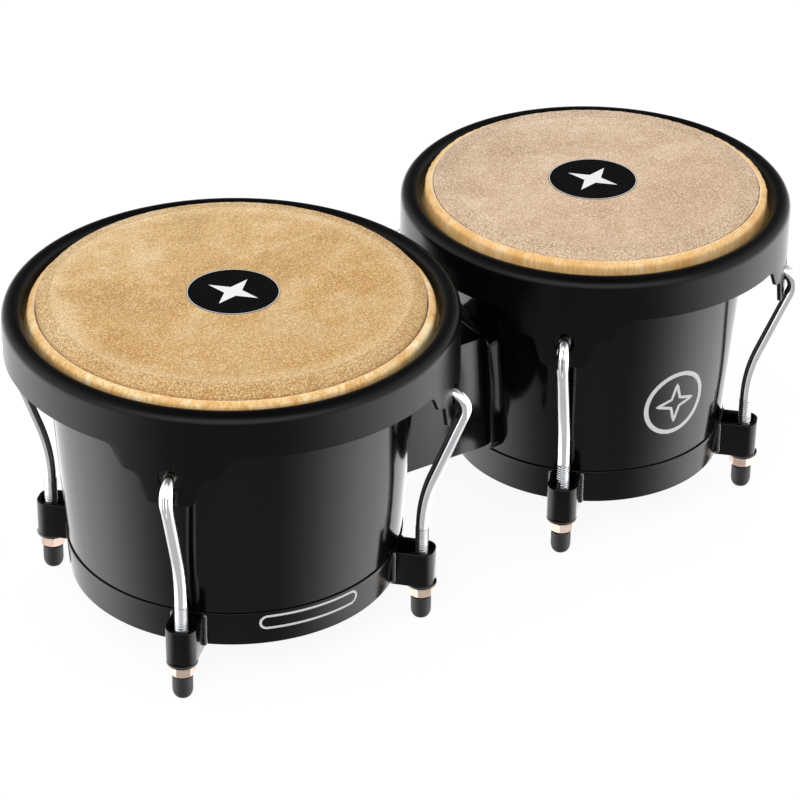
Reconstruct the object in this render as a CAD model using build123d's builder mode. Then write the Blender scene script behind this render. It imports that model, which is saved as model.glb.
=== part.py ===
from build123d import *

import os
from dataclasses import dataclass
from math import atan, cos, degrees, radians, sin, tan

# Bongo drums: two open-bottomed moulded drums of different diameter, bolted to the
# two ends of a centre block. On each drum a skin is lapped round a steel flesh hoop,
# a curled steel rim pulls the hoop down, four hooked lugs pull the rim, and a nut
# under each strap of the bottom ring tightens its lug.
# Millimetres, +Z up. The origin is on the surface the drums stand on, under the
# middle of the overall box. +X runs from the large drum to the small one.

os.makedirs("parts", exist_ok=True)

# Heights above the surface the drums stand on
head_height = 161.8
ring_base = 20.6

# Shell
wall = 6.0
edge_roundover = 5.0
inner_bevel = 3.0

# Skin, flesh hoop and rim
skin = 1.8
collar_gap = 0.2
collar_cut = 1.0
hoop_width = 5.8
hoop_height = 4.2
hoop_drop = 15.8
tail_gap = 0.4
tail_width = 3.4
rim_sheet = 1.8
rim_roll = 5.0
rim_drop = 4.7
rim_skirt = 20.9
rim_inset = 0.3

# Side plates of the rim: half widths and depths below the skirt's lower edge
plate_root = (28.5, 0.0)
plate_shoulder = (22.3, 10.3)
plate_waist = (15.2, 12.0)
plate_toe = (10.8, 25.4)
plate_corners = (5.0, 3.0, 3.5, 3.5)
hook_hole_radius = 5.1
hook_hole_drop = 12.8

# Bottom ring and its welded straps
ring_sheet = 1.6
ring_proud = 0.7
ring_height = 17.8
ring_flange = 5.0
strap_sheet = 2.0
strap_height = 18.0
strap_base = 19.8
strap_half_width = 7.2
strap_corner = 5.6
strap_reach = 6.4
strap_root = 0.4
weld_radius = 1.4

# Tuning lugs, a quarter-inch coarse thread
lug_standoff = 13.0
thread_radius = 3.175
thread_clearance = 0.05
shank_radius = 2.95
thread_top = 50.0
lug_foot = 3.5
knee_radius = 75.0
knee_drop = 58.7
hook_offset = 8.6
hook_bend = 8.0
hook_rise = 1.95
hook_tail = 7.0

# Nuts, washers and rubber tips
nut_across_flats = 11.11
nut_height = 5.56
nut_bevel = 0.6
washer_radius = 7.3
washer_sheet = 1.4
washer_boss_radius = 4.3
washer_boss_height = 1.5
washer_clearance = 0.35
tip_radius = 4.8
tip_foot_radius = 2.0
tip_dome = 4.6
tip_gap = 1.0

# Centre block, the shells' bosses for it, and its bolts
rim_gap = 6.9
block_half_width = 15.8
block_base = 43.5
block_height = 62.0
block_chamfer = 1.0
boss_thickness = 4.0
boss_half_width = 20.4
boss_height = 65.0
boss_corner = 6.0
bolt_spacing = 33.0
bolt_radius = 3.0
bolt_clearance = 0.3
bolt_head_across_flats = 10.0
bolt_head_height = 4.0
bolt_washer_radius = 8.0
bolt_washer_sheet = 1.5
spotface_radius = 9.0
spotface_depth = 0.9
insert_radius = 4.5
insert_length = 16.0
bolt_end_gap = 2.0

# Round sticker in the middle of each head
sticker_radius = 21.35
sticker_sheet = 0.15

lug_count = 4
first_lug_angle = 45.0

# Worked out from the sizes above
shell_base = ring_base + ring_sheet
shell_top = head_height - skin
edge_foot = shell_top - edge_roundover
ring_top = ring_base + ring_height
hoop_top = head_height - hoop_drop
hoop_base = hoop_top - hoop_height
rim_centre = head_height - rim_drop - rim_roll
skirt_base = head_height - rim_drop - rim_skirt
hook_hole_height = skirt_base - hook_hole_drop
hook_height = hook_hole_height - hook_hole_radius + shank_radius + hook_rise
knee_height = hook_height - knee_drop
nut_top = strap_base - washer_sheet
nut_base = nut_top - nut_height
tip_top = nut_base - tip_gap
tail_inner = skin + collar_gap + tail_gap
tail_outer = tail_inner + tail_width
hoop_inner = skin + collar_gap
hoop_outer = hoop_inner + hoop_width
lap_outer = hoop_outer + skin
rim_standoff = hoop_outer - rim_inset + 2 * rim_roll
block_middle = block_base + block_height / 2


@dataclass
class Drum:
    """One of the two drums. Radii are outside radii of its shell."""

    name: str
    centre_x: float
    facing: int
    top_radius: float
    base_radius: float
    lug_turn: float
    hook_inset: float
    tail_top: float
    sticker_at: tuple
    nut_turns: tuple

    @property
    def axis(self):
        return Axis((self.centre_x, 0, 0), (0, 0, 1))

    @property
    def rim_radius(self):
        return self.top_radius + rim_standoff

    @property
    def lug_radius(self):
        return self.base_radius + lug_standoff

    @property
    def hook_radius(self):
        """Where a lug's slanting shank meets its hook, past the rim's outside."""
        return self.rim_radius + hook_offset - self.hook_inset

    @property
    def slope(self):
        return (self.top_radius - self.base_radius) / (edge_foot - shell_base)

    @property
    def lean(self):
        return atan(self.slope)

    @property
    def lug_angles(self):
        step = 360 / lug_count
        return [first_lug_angle + self.lug_turn + step * i for i in range(lug_count)]

    def outside(self, height):
        """Outside radius of the shell's cone at a height."""
        return self.base_radius + self.slope * (height - shell_base)

    def level(self, height):
        """Horizontal plane centred on the drum."""
        return Plane.XY.offset(height).move(Location((self.centre_x, 0, 0)))

    def section(self, angle=0.0):
        """Upright plane through the drum's axis: x is the radius, y the height."""
        out = (cos(radians(angle)), sin(radians(angle)), 0)
        side = (out[1], -out[0], 0)
        return Plane(origin=(self.centre_x, 0, 0), x_dir=out, z_dir=side)

    def plate_plane(self, angle):
        """Upright plane at the rim's radius, facing outwards, x along the rim."""
        out = (cos(radians(angle)), sin(radians(angle)), 0)
        along = (-out[1], out[0], 0)
        at = (self.centre_x + self.rim_radius * out[0], self.rim_radius * out[1], 0)
        return Plane(origin=at, x_dir=along, z_dir=out)

    def joint_plane(self, standoff):
        """Plane along the shell's side at the block, a distance out from the wall."""
        out = (self.facing * cos(self.lean), 0, -sin(self.lean))
        reach = self.outside(block_middle)
        at_shell = Vector(self.centre_x + self.facing * reach, 0, block_middle)
        return Plane(origin=at_shell + Vector(*out) * standoff, x_dir=(0, 1, 0), z_dir=out)

    def boss_face(self, height):
        """X of the boss's flat face at a height."""
        return self.centre_x + self.facing * (self.outside(height) + boss_thickness / cos(self.lean))


def keep(builder, name):
    """Label a finished piece and write it under its own name."""
    builder.part.label = name
    export_step(builder.part, f"parts/{name}.step")


def bolt_places():
    """The two bolts, one above the other, in a joint plane."""
    return Locations((0, -bolt_spacing / 2), (0, bolt_spacing / 2))


def make_shell(drum):
    """Tapered shell with a flat boss for the block, rebated at its foot for the ring."""
    rebate = drum.outside(ring_top) + ring_proud - ring_sheet
    with BuildPart() as boss:
        with BuildSketch(drum.joint_plane(boss_thickness)):
            RectangleRounded(2 * boss_half_width, boss_height, boss_corner)
        extrude(amount=-boss_half_width)
        with BuildSketch(drum.section()):
            with BuildLine():
                Polyline(
                    (0, shell_base),
                    (drum.base_radius - wall / 2, shell_base),
                    (drum.top_radius - wall / 2, edge_foot),
                    (0, edge_foot),
                    close=True,
                )
            make_face()
        revolve(axis=drum.axis, mode=Mode.SUBTRACT)
    with BuildPart() as shell:
        with BuildSketch(drum.section()):
            with BuildLine():
                Line((rebate - drum.slope * (ring_top - shell_base), shell_base), (rebate, ring_top))
                Line((rebate, ring_top), (drum.outside(ring_top), ring_top))
                Line((drum.outside(ring_top), ring_top), (drum.top_radius, edge_foot))
                CenterArc((drum.top_radius - edge_roundover, edge_foot), edge_roundover, 0, 90)
                Polyline(
                    (drum.top_radius - edge_roundover, shell_top),
                    (drum.top_radius - wall, shell_top - inner_bevel),
                    (drum.base_radius - wall, shell_base),
                    (rebate - drum.slope * (ring_top - shell_base), shell_base),
                )
            make_face()
        revolve(axis=drum.axis)
        add(boss.part)
        with BuildSketch(drum.joint_plane(boss_thickness)):
            with bolt_places():
                Circle(bolt_radius + bolt_clearance)
        extrude(amount=-3 * wall, mode=Mode.SUBTRACT)
        with BuildSketch(drum.joint_plane(spotface_depth - wall * cos(drum.lean))):
            with bolt_places():
                Circle(spotface_radius)
        extrude(amount=-wall, mode=Mode.SUBTRACT)
    keep(shell, f"{drum.name}_shell")


def make_head_skin(drum):
    """Playing surface, carried over the bearing edge as far as its collar."""
    bend = (drum.top_radius - edge_roundover, edge_foot)
    with BuildPart() as head_skin:
        with BuildSketch(drum.section()):
            with BuildLine():
                Line((0, shell_top), (bend[0], shell_top))
                CenterArc(bend, edge_roundover, 0, 90)
                Line((drum.top_radius, edge_foot), (drum.top_radius + skin, edge_foot))
                CenterArc(bend, edge_roundover + skin, 0, 90)
                Polyline((bend[0], head_height), (0, head_height), (0, shell_top))
            make_face()
        revolve(axis=drum.axis)
    keep(head_skin, f"{drum.name}_head_skin")


def make_head_lap(drum):
    """Edge of the skin: lower collar, lap round the flesh hoop and upstanding tail."""
    top = drum.top_radius
    tail_middle = top + (tail_inner + tail_outer) / 2
    tail_shoulder = drum.tail_top - tail_width / 2
    with BuildPart() as head_lap:
        with BuildSketch(drum.section()):
            with BuildLine():
                Polyline(
                    (top + tail_inner, tail_shoulder),
                    (top + tail_inner, hoop_top),
                    (top + hoop_outer, hoop_top),
                    (top + hoop_outer, hoop_base),
                    (top + hoop_inner, hoop_base),
                    (top + hoop_inner, edge_foot - collar_cut),
                    (top + collar_gap, edge_foot - collar_cut),
                    (top + collar_gap, hoop_base - skin),
                    (top + lap_outer, hoop_base - skin),
                    (top + lap_outer, hoop_top + skin),
                    (top + tail_outer, hoop_top + skin),
                    (top + tail_outer, tail_shoulder),
                )
                CenterArc((tail_middle, tail_shoulder), tail_width / 2, 0, 180)
            make_face()
        revolve(axis=drum.axis)
    keep(head_lap, f"{drum.name}_head_lap")


def make_flesh_hoop(drum):
    """Steel hoop inside the lapped edge of the skin."""
    with BuildPart() as flesh_hoop:
        with BuildSketch(drum.level(hoop_base)):
            Circle(drum.top_radius + hoop_outer)
            Circle(drum.top_radius + hoop_inner, mode=Mode.SUBTRACT)
        extrude(amount=hoop_height)
    keep(flesh_hoop, f"{drum.name}_flesh_hoop")


def plate_outline():
    """Stepped side plate below the rim's skirt, drawn from one side to the other."""
    right = [plate_root, plate_shoulder, plate_waist, plate_toe]
    left = [(-x, drop) for x, drop in reversed(right)]
    corners = [(x, skirt_base - drop) for x, drop in right + left]
    ends = [(plate_root[0] + rim_sheet, skirt_base), (-plate_root[0] - rim_sheet, skirt_base)]
    overlap = skirt_base + rim_sheet
    with BuildSketch() as outline:
        with BuildLine():
            FilletPolyline(
                (plate_root[0] + 2 * plate_corners[0], skirt_base),
                *corners,
                (-plate_root[0] - 2 * plate_corners[0], skirt_base),
                radius=[*plate_corners, *reversed(plate_corners)],
            )
            Polyline(
                (-plate_root[0] - 2 * plate_corners[0], skirt_base),
                (-plate_root[0] - 2 * plate_corners[0], overlap),
                (plate_root[0] + 2 * plate_corners[0], overlap),
                (plate_root[0] + 2 * plate_corners[0], skirt_base),
            )
        make_face()
    return outline.sketch


def make_rim(drum):
    """Curled steel rim with a side plate and a hook hole at each lug."""
    outer = drum.rim_radius
    inner = outer - 2 * rim_roll
    leg_base = hoop_top + skin
    outline = plate_outline()
    with BuildPart() as outlines:
        for angle in drum.lug_angles:
            with BuildSketch(drum.plate_plane(angle)):
                add(outline)
            extrude(amount=rim_roll, both=True)
    with BuildPart() as plates:
        with BuildSketch(drum.level(skirt_base - plate_toe[1])):
            Circle(outer)
            Circle(outer - rim_sheet, mode=Mode.SUBTRACT)
        extrude(amount=plate_toe[1] + rim_sheet)
        add(outlines.part, mode=Mode.INTERSECT)
    with BuildPart() as rim:
        with BuildSketch(drum.section()):
            with BuildLine():
                Line((outer, skirt_base), (outer, rim_centre))
                CenterArc((outer - rim_roll, rim_centre), rim_roll, 0, 180)
                Polyline(
                    (inner, rim_centre),
                    (inner, leg_base),
                    (inner + rim_sheet, leg_base),
                    (inner + rim_sheet, rim_centre),
                )
                CenterArc((outer - rim_roll, rim_centre), rim_roll - rim_sheet, 0, 180)
                Polyline(
                    (outer - rim_sheet, rim_centre),
                    (outer - rim_sheet, skirt_base),
                    (outer, skirt_base),
                )
            make_face()
        revolve(axis=drum.axis)
        add(plates.part)
        for angle in drum.lug_angles:
            with BuildSketch(drum.plate_plane(angle)):
                with Locations((0, hook_hole_height)):
                    Circle(hook_hole_radius)
            extrude(amount=rim_roll, both=True, mode=Mode.SUBTRACT)
    keep(rim, f"{drum.name}_rim")


def strap_outline():
    """Plan of a U-shaped strap round its lug, open towards the ring."""
    leg = lug_standoff - ring_proud + ring_sheet / 4
    half = strap_half_width
    inside = half - strap_sheet
    with BuildSketch() as outline:
        with BuildLine():
            FilletPolyline(
                (-leg, -half),
                (strap_reach, -half),
                (strap_reach, half),
                (-leg, half),
                radius=strap_corner,
            )
            Line((-leg, half), (-leg, inside))
            FilletPolyline(
                (-leg, inside),
                (strap_reach - strap_sheet, inside),
                (strap_reach - strap_sheet, -inside),
                (-leg, -inside),
                radius=strap_corner - strap_sheet,
            )
            Line((-leg, -inside), (-leg, -half))
        make_face()
    return outline.sketch


def make_bottom_ring(drum):
    """Steel ring under and round the shell's foot, with a welded strap at each lug."""
    outline = strap_outline()
    lugs = PolarLocations(drum.lug_radius, lug_count, drum.lug_angles[0])
    face = drum.outside(ring_top) + ring_proud
    foot = face - drum.slope * ring_height
    weld_at = ring_proud - lug_standoff + ring_sheet / 4
    with BuildPart() as bottom_ring:
        with BuildSketch(drum.section()):
            with BuildLine():
                Polyline(
                    (foot, ring_base),
                    (face, ring_top),
                    (face - ring_sheet, ring_top),
                    (face - ring_sheet - drum.slope * (ring_top - shell_base), shell_base),
                    (foot - ring_flange, shell_base),
                    (foot - ring_flange, ring_base),
                    close=True,
                )
            make_face()
        revolve(axis=drum.axis)
        with BuildSketch(drum.level(strap_base)):
            with lugs:
                add(outline)
        extrude(amount=strap_height)
        with BuildSketch(drum.level(ring_base + strap_root)):
            with lugs:
                with Locations((weld_at, strap_half_width), (weld_at, -strap_half_width)):
                    Circle(weld_radius)
        extrude(amount=ring_height - 2 * strap_root)
        with BuildSketch(drum.section()):
            with BuildLine():
                Polyline(
                    (0, shell_base),
                    (face - ring_sheet - drum.slope * (ring_top - shell_base), shell_base),
                    (face - ring_sheet, ring_top),
                    (0, ring_top),
                    close=True,
                )
            make_face()
        revolve(axis=drum.axis, mode=Mode.SUBTRACT)
    keep(bottom_ring, f"{drum.name}_bottom_ring")


def make_lug(drum, number, angle):
    """Hooked tuning lug: threaded foot, bent shank, hook through the side plate."""
    hook_end = drum.rim_radius - rim_sheet - hook_tail
    with BuildPart() as lug:
        with BuildLine(drum.section(angle)) as route:
            FilletPolyline(
                (drum.lug_radius, lug_foot),
                (drum.lug_radius, knee_height),
                (drum.hook_radius, hook_height),
                (hook_end, hook_height),
                radius=[knee_radius, hook_bend],
            )
        with BuildSketch(Plane(route.line @ 0, z_dir=route.line % 0)):
            Circle(shank_radius)
        sweep(path=route.line)
        foot = drum.section(angle).from_local_coords((drum.lug_radius, lug_foot, 0))
        with BuildSketch(Plane(foot)):
            Circle(thread_radius)
        extrude(amount=thread_top - lug_foot)
    keep(lug, f"{drum.name}_tuning_lug_{number}")


def make_nut(drum, number, angle, turn):
    """Hexagon tuning nut against the washer, turned to its own place on the thread."""
    at = drum.section(angle).from_local_coords((drum.lug_radius, nut_base, 0))
    corner = nut_across_flats / 2 / cos(radians(30))
    with BuildPart() as nut:
        with BuildSketch(Plane(at)):
            RegularPolygon(nut_across_flats / 2, 6, major_radius=False, rotation=turn)
            Circle(thread_radius + thread_clearance, mode=Mode.SUBTRACT)
        extrude(amount=nut_height)
        with BuildSketch(Plane(at, x_dir=(1, 0, 0), z_dir=(0, -1, 0))):
            with BuildLine():
                Polyline(
                    (0, 0),
                    (corner - 2 * nut_bevel, 0),
                    (corner, nut_bevel),
                    (corner, nut_height - nut_bevel),
                    (corner - 2 * nut_bevel, nut_height),
                    (0, nut_height),
                    close=True,
                )
            make_face()
        revolve(axis=Axis(at, (0, 0, 1)), mode=Mode.INTERSECT)
    keep(nut, f"{drum.name}_nut_{number}")


def make_tip(drum, number, angle):
    """Rubber tip pushed on the lug's foot; the drums stand on these."""
    at = drum.section(angle).from_local_coords((drum.lug_radius, 0, 0))
    with BuildPart() as tip:
        with BuildSketch(Plane(at, x_dir=(1, 0, 0), z_dir=(0, -1, 0))):
            with BuildLine():
                Line((0, 0), (tip_foot_radius, 0))
                EllipticalCenterArc(
                    (tip_foot_radius, tip_dome),
                    tip_radius - tip_foot_radius,
                    tip_dome,
                    start_angle=270,
                    arc_size=90,
                )
                Polyline(
                    (tip_radius, tip_dome),
                    (tip_radius, tip_top),
                    (thread_radius, tip_top),
                    (thread_radius, lug_foot),
                    (0, lug_foot),
                    (0, 0),
                )
            make_face()
        revolve(axis=Axis(at, (0, 0, 1)))
    keep(tip, f"{drum.name}_rubber_tip_{number}")


def make_lug_washers(drum):
    """Stepped washers, one under each strap, with a boss up inside it."""
    lugs = PolarLocations(drum.lug_radius, lug_count, drum.lug_angles[0])
    with BuildPart() as washers:
        with BuildSketch(drum.level(nut_top)):
            with lugs:
                Circle(washer_radius)
                Circle(thread_radius + washer_clearance, mode=Mode.SUBTRACT)
        extrude(amount=washer_sheet)
        with BuildSketch(drum.level(strap_base)):
            with lugs:
                Circle(washer_boss_radius)
                Circle(thread_radius + washer_clearance, mode=Mode.SUBTRACT)
        extrude(amount=washer_boss_height)
    keep(washers, f"{drum.name}_lug_washers")


def make_sticker(drum):
    """Round sticker on the playing surface."""
    with BuildPart() as sticker:
        with BuildSketch(drum.level(head_height)):
            with Locations(drum.sticker_at):
                Circle(sticker_radius)
        extrude(amount=sticker_sheet)
    keep(sticker, f"{drum.name}_head_sticker")


def make_block_bolts(drum):
    """Hexagon bolts from inside the shell into the block."""
    seat = spotface_depth - wall * cos(drum.lean) - bolt_washer_sheet
    with BuildPart() as bolts:
        with BuildSketch(drum.joint_plane(seat)):
            with bolt_places():
                RegularPolygon(bolt_head_across_flats / 2, 6, major_radius=False)
        extrude(amount=-bolt_head_height)
        with BuildSketch(drum.joint_plane(seat)):
            with bolt_places():
                Circle(bolt_radius)
        extrude(amount=boss_thickness + insert_length - bolt_end_gap - seat)
    keep(bolts, f"{drum.name}_block_bolts")


def make_bolt_washers(drum):
    """Flat washers under the bolts' heads, on the shell's spotfaces."""
    with BuildPart() as washers:
        with BuildSketch(drum.joint_plane(spotface_depth - wall * cos(drum.lean))):
            with bolt_places():
                Circle(bolt_washer_radius)
                Circle(bolt_radius + bolt_clearance, mode=Mode.SUBTRACT)
        extrude(amount=-bolt_washer_sheet)
    keep(washers, f"{drum.name}_bolt_washers")


def make_block_inserts(drum):
    """Threaded inserts sunk in the block's end."""
    with BuildPart() as inserts:
        with BuildSketch(drum.joint_plane(boss_thickness)):
            with bolt_places():
                Circle(insert_radius)
                Circle(bolt_radius + thread_clearance, mode=Mode.SUBTRACT)
        extrude(amount=insert_length)
    keep(inserts, f"{drum.name}_block_inserts")


def make_centre_block(drums):
    """Block between the drums, its ends leaning with their shells."""
    large, small = drums
    top = block_base + block_height
    with BuildPart() as block:
        with BuildSketch(Plane.XZ):
            with BuildLine():
                Polyline(
                    (large.boss_face(block_base), block_base),
                    (small.boss_face(block_base), block_base),
                    (small.boss_face(top), top),
                    (large.boss_face(top), top),
                    close=True,
                )
            make_face()
        extrude(amount=block_half_width, both=True)
        chamfer(block.edges().filter_by(Axis.X), block_chamfer)
        for drum in drums:
            with BuildSketch(drum.joint_plane(boss_thickness)):
                with bolt_places():
                    Circle(insert_radius)
            extrude(amount=insert_length, mode=Mode.SUBTRACT)
    keep(block, "centre_block")


def make_drum(drum):
    """Every piece of one drum."""
    make_shell(drum)
    make_head_skin(drum)
    make_head_lap(drum)
    make_flesh_hoop(drum)
    make_rim(drum)
    make_bottom_ring(drum)
    for index, angle in enumerate(drum.lug_angles):
        make_lug(drum, index + 1, angle)
        make_nut(drum, index + 1, angle, drum.nut_turns[index])
        make_tip(drum, index + 1, angle)
    make_lug_washers(drum)
    make_sticker(drum)
    make_block_bolts(drum)
    make_bolt_washers(drum)
    make_block_inserts(drum)


large_top_radius = 87.2
large_base_radius = 77.4
small_top_radius = 76.4
small_base_radius = 65.8
large_rim = large_top_radius + rim_standoff
small_rim = small_top_radius + rim_standoff
half_length = large_rim + small_rim + rim_gap / 2

large_drum = Drum(
    name="large",
    centre_x=large_rim - half_length,
    facing=1,
    top_radius=large_top_radius,
    base_radius=large_base_radius,
    lug_turn=-2.0,
    hook_inset=0.0,
    tail_top=head_height - 4.2,
    sticker_at=(0.3, -0.9),
    nut_turns=(12.0, 34.0, 3.0, 11.0),
)
small_drum = Drum(
    name="small",
    centre_x=half_length - small_rim,
    facing=-1,
    top_radius=small_top_radius,
    base_radius=small_base_radius,
    lug_turn=0.4,
    hook_inset=0.8,
    tail_top=head_height - 1.0,
    sticker_at=(-0.9, 1.4),
    nut_turns=(25.0, 8.0, 17.0, 40.0),
)

for drum in (large_drum, small_drum):
    make_drum(drum)
make_centre_block((large_drum, small_drum))
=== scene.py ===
"""Bongo drums: the finished surfaces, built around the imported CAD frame.

Shapes are worked out in millimetres in the frame's own axes and turned into metres when
a mesh is made. Places come from the frame; the few sizes that the frame's boxes don't
give are the named values below, and agree with the CAD model.
"""

import math
from math import atan2, cos, hypot, pi, radians, sin, tan

import bmesh
import bpy
import numpy as np
from mathutils import Matrix, Vector, geometry, noise


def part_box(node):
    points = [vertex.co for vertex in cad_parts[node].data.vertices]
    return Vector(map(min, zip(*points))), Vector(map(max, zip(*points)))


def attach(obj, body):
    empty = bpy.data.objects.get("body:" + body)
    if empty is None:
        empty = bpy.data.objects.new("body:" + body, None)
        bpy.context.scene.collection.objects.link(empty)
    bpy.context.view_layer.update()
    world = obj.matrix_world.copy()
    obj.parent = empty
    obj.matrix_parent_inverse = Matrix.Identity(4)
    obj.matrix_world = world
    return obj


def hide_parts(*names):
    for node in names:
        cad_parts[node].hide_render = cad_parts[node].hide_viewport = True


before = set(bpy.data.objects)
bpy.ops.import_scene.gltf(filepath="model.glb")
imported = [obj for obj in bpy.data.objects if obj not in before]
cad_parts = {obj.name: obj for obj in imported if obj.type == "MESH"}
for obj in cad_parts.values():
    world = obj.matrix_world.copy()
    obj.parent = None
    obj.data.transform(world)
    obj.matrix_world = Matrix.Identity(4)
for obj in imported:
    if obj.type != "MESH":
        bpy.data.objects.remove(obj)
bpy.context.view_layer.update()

MM = 0.001

# Sizes shared with the CAD model, in millimetres
HOOP_REACH = 7.8
LUG_STANDOFF = 13.0
SHELL_WALL = 6.0
EDGE_ROUNDOVER = 5.0
SKIN = 1.8
RIM_SHEET = 1.8
RIM_ROLL = 5.0
RIM_LEG_TOP = 14.0
HEAD_TO_ROLL = 4.7
HEAD_TO_SKIRT = 25.6
PLATE = ((28.5, 0.0), (22.3, 10.3), (15.2, 12.0), (10.8, 25.4))
PLATE_CORNERS = (5.0, 3.0, 3.5, 3.5)
HOOK_HOLE_DROP = 12.8
HOOK_HOLE_RADIUS = 5.1
RING_BASE = 20.6
RING_HEIGHT = 17.8
RING_SHEET = 1.6
RING_PROUD = 0.7
RING_FLANGE = 5.0
STRAP_BASE = 19.8
STRAP_HEIGHT = 18.0
STRAP_SHEET = 2.0
STRAP_HALF_WIDTH = 7.2
STRAP_REACH = 6.4
STRAP_CORNER = 5.6
THREAD_RADIUS = 3.175
THREAD_PITCH = 1.27
THREAD_TOP = 50.0
SHANK_RADIUS = 2.95
LUG_FOOT = 3.5
KNEE_RADIUS = 75.0
KNEE_DROP = 58.7
HOOK_RISE = 1.95
# Out from a lug's foot to its hook; the CAD model places the same point from the rim
HOOK_OFFSET = 22.9
HOOK_BEND = 8.0
HOOK_TAIL = 7.0
BOSS_THICKNESS = 4.0
BOSS_HALF_WIDTH = 20.4
BOSS_HEIGHT = 65.0
BOSS_CORNER = 6.0
NUT_ACROSS_FLATS = 11.11
LIP_INSIDE = 2.2
LIP_OUTSIDE = 5.9
LAP_INSIDE = 0.3
LAP_OUTSIDE = 9.5

# Printed marks: heights and angles of their middles, and their strokes
BADGE_HEIGHT = 72.0
BADGE_ANGLE = radians(270)
BADGE_RADIUS = 16.2
LABEL_DROP = 5.6
LABEL_ANGLE = radians(265)

SEGMENTS = 192
FRONT = radians(235.8)


class Shape:
    """Points in millimetres and faces, gathered before they become one mesh."""

    def __init__(self):
        self.points = []
        self.faces = []

    def add(self, points, faces):
        first = len(self.points)
        self.points.extend(tuple(float(c) for c in p) for p in points)
        self.faces.extend(tuple(first + i for i in face) for face in faces)

    def grid(self, rows, wrap_rows=False, wrap_columns=False):
        """Quads between neighbouring points of an array of rows of points."""
        rows = np.asarray(rows, float)
        count, width = rows.shape[:2]
        row_count = count if wrap_rows else count - 1
        column_count = width if wrap_columns else width - 1
        faces = []
        for i in range(row_count):
            low, high = i * width, ((i + 1) % count) * width
            for j in range(column_count):
                k = (j + 1) % width
                faces.append((low + j, low + k, high + k, high + j))
        self.add(rows.reshape(-1, 3), faces)

    def lathe(self, profile, x=0.0, y=0.0, segments=SEGMENTS, closed=True, shift=None):
        """Turns (radius, height) points about an upright axis; shift moves each point."""
        rows = []
        for r, z in profile:
            row = []
            for j in range(segments):
                angle = 2 * pi * j / segments
                dr, dz = shift(r, z, angle) if shift else (0.0, 0.0)
                row.append((x + (r + dr) * cos(angle), y + (r + dr) * sin(angle), z + dz))
            rows.append(row)
        self.grid(rows, wrap_rows=closed, wrap_columns=True)

    def prism(self, outline, low, high):
        """Upright prism on a plan outline."""
        n = len(outline)
        points = [(x, y, z) for z in (low, high) for x, y in outline]
        sides = [(i, (i + 1) % n, n + (i + 1) % n, n + i) for i in range(n)]
        self.add(points, [tuple(reversed(range(n))), tuple(range(n, 2 * n)), *sides])


def link_object(name, data):
    """Puts a new object in the scene."""
    obj = bpy.data.objects.new(name, data)
    bpy.context.scene.collection.objects.link(obj)
    return obj


def piece(shape, name, material, body, replaces=(), sharp=32, merge=0.002):
    """Makes a mesh object of a shape, smooth-shaded but for its sharp edges."""
    mesh = bpy.data.meshes.new(name)
    mesh.from_pydata([tuple(c * MM for c in p) for p in shape.points], [], shape.faces)
    bm = bmesh.new()
    bm.from_mesh(mesh)
    bmesh.ops.remove_doubles(bm, verts=bm.verts, dist=merge * MM)
    bmesh.ops.dissolve_degenerate(bm, edges=bm.edges, dist=merge * MM / 2)
    bmesh.ops.recalc_face_normals(bm, faces=bm.faces)
    bm.to_mesh(mesh)
    bm.free()
    mesh.materials.append(material)
    obj = link_object(name, mesh)
    smooth(mesh, sharp)
    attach(obj, body)
    if replaces:
        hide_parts(*replaces)
    return obj


def smooth(mesh, sharp):
    mesh.polygons.foreach_set("use_smooth", [True] * len(mesh.polygons))
    mesh.set_sharp_from_angle(angle=radians(sharp))


def apply(obj, kind, sharp=32, **settings):
    """Adds one modifier, applies it and marks the sharp edges again."""
    modifier = obj.modifiers.new(kind.title(), kind)
    for key, value in settings.items():
        setattr(modifier, key, value)
    graph = bpy.context.evaluated_depsgraph_get()
    mesh = bpy.data.meshes.new_from_object(obj.evaluated_get(graph))
    obj.modifiers.clear()
    old = obj.data
    obj.data = mesh
    bpy.data.meshes.remove(old)
    smooth(mesh, sharp)


def round_edges(obj, width, segments=3, angle=40, sharp=32):
    apply(
        obj,
        "BEVEL",
        sharp,
        width=width * MM,
        segments=segments,
        limit_method="ANGLE",
        angle_limit=radians(angle),
        harden_normals=False,
    )


def arc(cx, cy, radius, start, end, steps=8, other=None):
    """Points along an arc, or along an ellipse's when other is its second radius."""
    other = radius if other is None else other
    angles = [radians(start + (end - start) * i / steps) for i in range(steps + 1)]
    return [(cx + radius * cos(a), cy + other * sin(a)) for a in angles]


def rounded(points, radii, steps=8):
    """A line through points with a fillet at each one between its ends."""
    line = [points[0]]
    for before, at, after, radius in zip(points, points[1:], points[2:], radii):
        b, p, a = (np.array(v, float) for v in (before, at, after))
        back = (b - p) / np.linalg.norm(b - p)
        ahead = (a - p) / np.linalg.norm(a - p)
        half = math.acos(max(-1.0, min(1.0, float(back @ ahead)))) / 2
        middle = (back + ahead) / np.linalg.norm(back + ahead)
        centre = p + middle * radius / sin(half)
        tangent = p + back * radius / tan(half)
        start = atan2(*(tangent - centre)[::-1])
        finish = atan2(*((p + ahead * radius / tan(half)) - centre)[::-1])
        turn = (finish - start + pi) % (2 * pi) - pi
        for i in range(steps + 1):
            angle = start + turn * i / steps
            line.append((centre[0] + radius * cos(angle), centre[1] + radius * sin(angle)))
    line.append(points[-1])
    return line


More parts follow.
